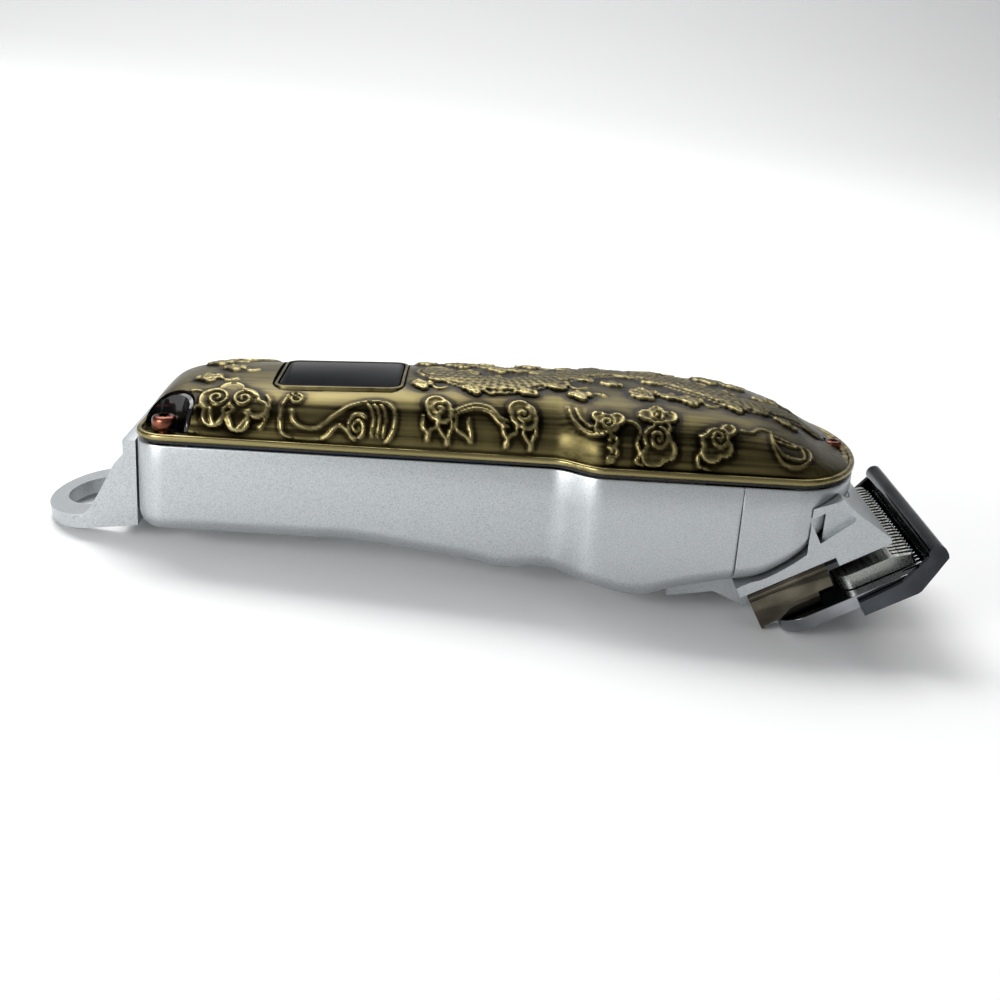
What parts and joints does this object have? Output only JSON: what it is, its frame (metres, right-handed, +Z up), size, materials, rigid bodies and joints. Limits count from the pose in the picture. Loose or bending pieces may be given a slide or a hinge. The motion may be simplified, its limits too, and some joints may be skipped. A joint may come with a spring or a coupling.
{
  "type": "cordless hair clipper",
  "caption": "Cordless hair clipper with a silver painted body, an embossed brass cover, a dark display, a hanging hook and a tilted blade set with side clips",
  "frame": {"origin": "centre of the flat rear part of the underside, on the mount underside_rest", "axes": "+X forward along the clipper to the blades, +Y its left side, +Z up"},
  "size_m": [0.1816, 0.0523, 0.045],
  "materials": {
    "silver_paint": "fine metallic sparkle, satin",
    "antique_brass": "embossed, dark patina in the hollows, polished rim",
    "black_rubber": "matte",
    "gloss_black": "high gloss",
    "copper_brown": "copper-brown plated",
    "dark_glass": "dark tinted, polished",
    "board_green": "solder mask",
    "bright_steel": "plain turned steel",
    "battery_wrap": "shrink wrap",
    "grey_plastic": "moulded",
    "blade_steel": "ground",
    "nickel": "polished nickel",
    "black_chrome": "dark chrome"
  },
  "bodies": {
    "clipper_body": {"lower_housing": "silver_paint", "nose_housing": "silver_paint", "cover_gasket": "black_rubber", "top_cover": "antique_brass", "pocket_liner_left": "gloss_black", "pocket_liner_right": "gloss_black", "cover_screw_left": "copper_brown", "cover_screw_right": "copper_brown", "cover_screw_front": "copper_brown", "display_bezel": "antique_brass", "display_glass": "dark_glass", "display_module": "board_green", "hanging_hook": "silver_paint", "hook_screw_left": "bright_steel", "hook_screw_right": "bright_steel", "charging_socket": "bright_steel", "battery_cell": "battery_wrap", "battery_cradle": "grey_plastic", "circuit_board": "board_green", "motor": "bright_steel", "motor_cradle": "grey_plastic", "button_spring": "bright_steel", "switch_board": "board_green", "blade_seat": "silver_paint", "seat_screw_left": "bright_steel", "seat_screw_right": "bright_steel", "lever_washer": "bright_steel", "stationary_blade": "black_chrome", "blade_screw_left": "bright_steel", "blade_screw_right": "bright_steel", "side_clip_left": "nickel", "side_clip_right": "nickel"},
    "motor_rotor": {"motor_shaft": "bright_steel", "eccentric_cam": "bright_steel"},
    "taper_slide": {"taper_carriage": "grey_plastic", "tension_spring": "bright_steel"},
    "cutter": {"cutter_blade": "blade_steel", "drive_yoke": "gloss_black"},
    "lever": {"taper_lever": "silver_paint", "taper_crank": "bright_steel", "lever_screw": "copper_brown"},
    "button": {"power_button": "antique_brass"},
    "guard": {"blade_guard": "black_chrome"}
  },
  "joints": [
    {"name": "motor_spin", "type": "hinge", "parent": "clipper_body", "child": "motor_rotor", "pos_m": [0.092, 0, 0.0097], "axis": [1, 0, 0], "continuous": true},
    {"name": "taper_travel", "type": "slide", "parent": "clipper_body", "child": "taper_slide", "axis": [0.8746, 0, 0.4848], "range_m": [-0.002, 0]},
    {"name": "cutter_stroke", "type": "slide", "parent": "taper_slide", "child": "cutter", "axis": [0, 1, 0], "range_m": [-0.0012, 0.0012]},
    {"name": "taper_swing", "type": "hinge", "parent": "clipper_body", "child": "lever", "pos_m": [0.11845, 0.0253, 0.00736], "axis": [0, 1, 0], "range_deg": [-35, 0]},
    {"name": "button_press", "type": "slide", "parent": "clipper_body", "child": "button", "axis": [0, -1, 0], "range_m": [0, 0.0008], "stiffness_N_per_m": 400, "springref_m": -0.001},
    {"name": "guard_pull", "type": "slide", "parent": "clipper_body", "child": "guard", "axis": [0.8746, 0, 0.4848], "range_m": [0, 0.03]}
  ],
  "couplings": [
    {"joint": "taper_travel", "follows": "taper_swing", "m_per_rad": 0.003}
  ]
}
